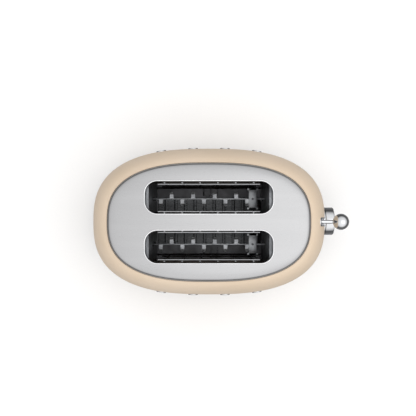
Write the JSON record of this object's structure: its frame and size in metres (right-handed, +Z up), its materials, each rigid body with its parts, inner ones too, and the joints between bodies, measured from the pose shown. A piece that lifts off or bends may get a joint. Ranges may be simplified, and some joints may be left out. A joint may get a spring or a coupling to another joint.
{
  "type": "pop-up toaster",
  "caption": "Free-standing pop-up toaster with an oval rounded shell, brushed top plate, sprung bread carriage, ball-ended lever, browning dial and pull-out crumb tray.",
  "frame": {"origin": "on the table under the middle of the overall box, lever knob included", "axes": "+X towards the lever end, +Y across the slots to the left seen from the rear end, +Z up"},
  "size_m": [0.3334, 0.198, 0.198],
  "materials": {
    "cream_enamel": "matte powder coat",
    "brushed_stainless": "brushed",
    "chrome": "polished",
    "galvanised_steel": "satin",
    "dark_steel": "satin",
    "spring_steel": "satin",
    "reflector_steel": "bright annealed",
    "mica": "layered mica",
    "heating_alloy": "oxidised",
    "black_plastic": "moulded",
    "cream_plastic": "moulded",
    "foot_rubber": "matte",
    "copper": "enamelled wire",
    "circuit_board": "solder mask",
    "red_insulation": "satin"
  },
  "bodies": {
    "housing": {"body_shell": "cream_enamel", "top_plate": "brushed_stainless", "base_ring": "chrome", "trim_studs": "chrome", "lever_escutcheon": "chrome", "dial_bezel": "chrome", "button_bezels": "chrome", "chassis_front": "galvanised_steel", "chassis_rear": "galvanised_steel", "chassis_rails": "galvanised_steel", "chassis_fasteners": "galvanised_steel", "tray_runners": "galvanised_steel", "guide_rod": "galvanised_steel", "reflector_left": "reflector_steel", "reflector_right": "reflector_steel", "centre_divider": "reflector_steel", "heater_card_outer_left": "mica", "heater_card_inner_left": "mica", "heater_card_inner_right": "mica", "heater_card_outer_right": "mica", "heating_ribbon_outer_left": "heating_alloy", "heating_ribbon_inner_left": "heating_alloy", "heating_ribbon_inner_right": "heating_alloy", "heating_ribbon_outer_right": "heating_alloy", "floor_baffles": "dark_steel", "magnet_core": "dark_steel", "lift_spring": "spring_steel", "base_pan": "black_plastic", "board_brackets": "black_plastic", "mains_switch": "black_plastic", "dial_potentiometer": "black_plastic", "button_switches": "black_plastic", "cord_gland": "black_plastic", "cord_cleats": "black_plastic", "terminal_block": "cream_plastic", "feet": "foot_rubber", "magnet_coil": "copper", "control_board": "circuit_board", "wiring_loom": "red_insulation"},
    "carriage": {"carriage_frame": "galvanised_steel", "guide_bush": "cream_plastic", "bread_carrier_left": "galvanised_steel", "bread_carrier_right": "galvanised_steel", "carrier_strap_left": "galvanised_steel", "carrier_strap_right": "galvanised_steel", "magnet_keeper": "dark_steel", "lever_arm": "chrome", "lever_knob": "chrome"},
    "bread_guide_outer_left": {"bread_guide_outer_left": "spring_steel"},
    "bread_guide_inner_left": {"bread_guide_inner_left": "spring_steel"},
    "bread_guide_inner_right": {"bread_guide_inner_right": "spring_steel"},
    "bread_guide_outer_right": {"bread_guide_outer_right": "spring_steel"},
    "dial": {"browning_dial": "chrome", "dial_shaft": "galvanised_steel"},
    "tray": {"crumb_tray": "galvanised_steel", "tray_handle": "chrome"},
    "button_upper_left": {"button_upper_left": "chrome"},
    "button_lower_left": {"button_lower_left": "chrome"},
    "button_upper_right": {"button_upper_right": "chrome"},
    "button_lower_right": {"button_lower_right": "chrome"}
  },
  "joints": [
    {"name": "carriage_slide", "type": "slide", "parent": "housing", "child": "carriage", "axis": [0, 0, -1], "range_m": [0, 0.062], "stiffness_N_per_m": 90, "springref_m": -0.04, "deforming": ["lift_spring"]},
    {"name": "bread_guide_outer_left_tilt", "type": "hinge", "parent": "housing", "child": "bread_guide_outer_left", "pos_m": [-0.01075, 0.0467, 0.044], "axis": [1, 0, 0], "range_deg": [0, 4]},
    {"name": "bread_guide_inner_left_tilt", "type": "hinge", "parent": "housing", "child": "bread_guide_inner_left", "pos_m": [-0.01075, 0.0127, 0.044], "axis": [-1, 0, 0], "range_deg": [0, 4]},
    {"name": "bread_guide_inner_right_tilt", "type": "hinge", "parent": "housing", "child": "bread_guide_inner_right", "pos_m": [-0.01075, -0.0127, 0.044], "axis": [1, 0, 0], "range_deg": [0, 4]},
    {"name": "bread_guide_outer_right_tilt", "type": "hinge", "parent": "housing", "child": "bread_guide_outer_right", "pos_m": [-0.01075, -0.0467, 0.044], "axis": [-1, 0, 0], "range_deg": [0, 4]},
    {"name": "dial_turn", "type": "hinge", "parent": "housing", "child": "dial", "pos_m": [0.14491, 0, 0.05155], "axis": [1, 0, 0], "range_deg": [-135, 135]},
    {"name": "tray_slide", "type": "slide", "parent": "housing", "child": "tray", "axis": [-1, 0, 0], "range_m": [0, 0.19]},
    {"name": "button_upper_left_press", "type": "slide", "parent": "housing", "child": "button_upper_left", "axis": [-1, 0, 0], "range_m": [0, 0.0015], "stiffness_N_per_m": 300, "springref_m": -0.001},
    {"name": "button_lower_left_press", "type": "slide", "parent": "housing", "child": "button_lower_left", "axis": [-1, 0, 0], "range_m": [0, 0.0015], "stiffness_N_per_m": 300, "springref_m": -0.001},
    {"name": "button_upper_right_press", "type": "slide", "parent": "housing", "child": "button_upper_right", "axis": [-1, 0, 0], "range_m": [0, 0.0015], "stiffness_N_per_m": 300, "springref_m": -0.001},
    {"name": "button_lower_right_press", "type": "slide", "parent": "housing", "child": "button_lower_right", "axis": [-1, 0, 0], "range_m": [0, 0.0015], "stiffness_N_per_m": 300, "springref_m": -0.001}
  ],
  "couplings": [
    {"joint": "bread_guide_outer_left_tilt", "follows": "carriage_slide", "rad_per_m": 1.12},
    {"joint": "bread_guide_inner_left_tilt", "follows": "carriage_slide", "rad_per_m": 1.12},
    {"joint": "bread_guide_inner_right_tilt", "follows": "carriage_slide", "rad_per_m": 1.12},
    {"joint": "bread_guide_outer_right_tilt", "follows": "carriage_slide", "rad_per_m": 1.12}
  ]
}
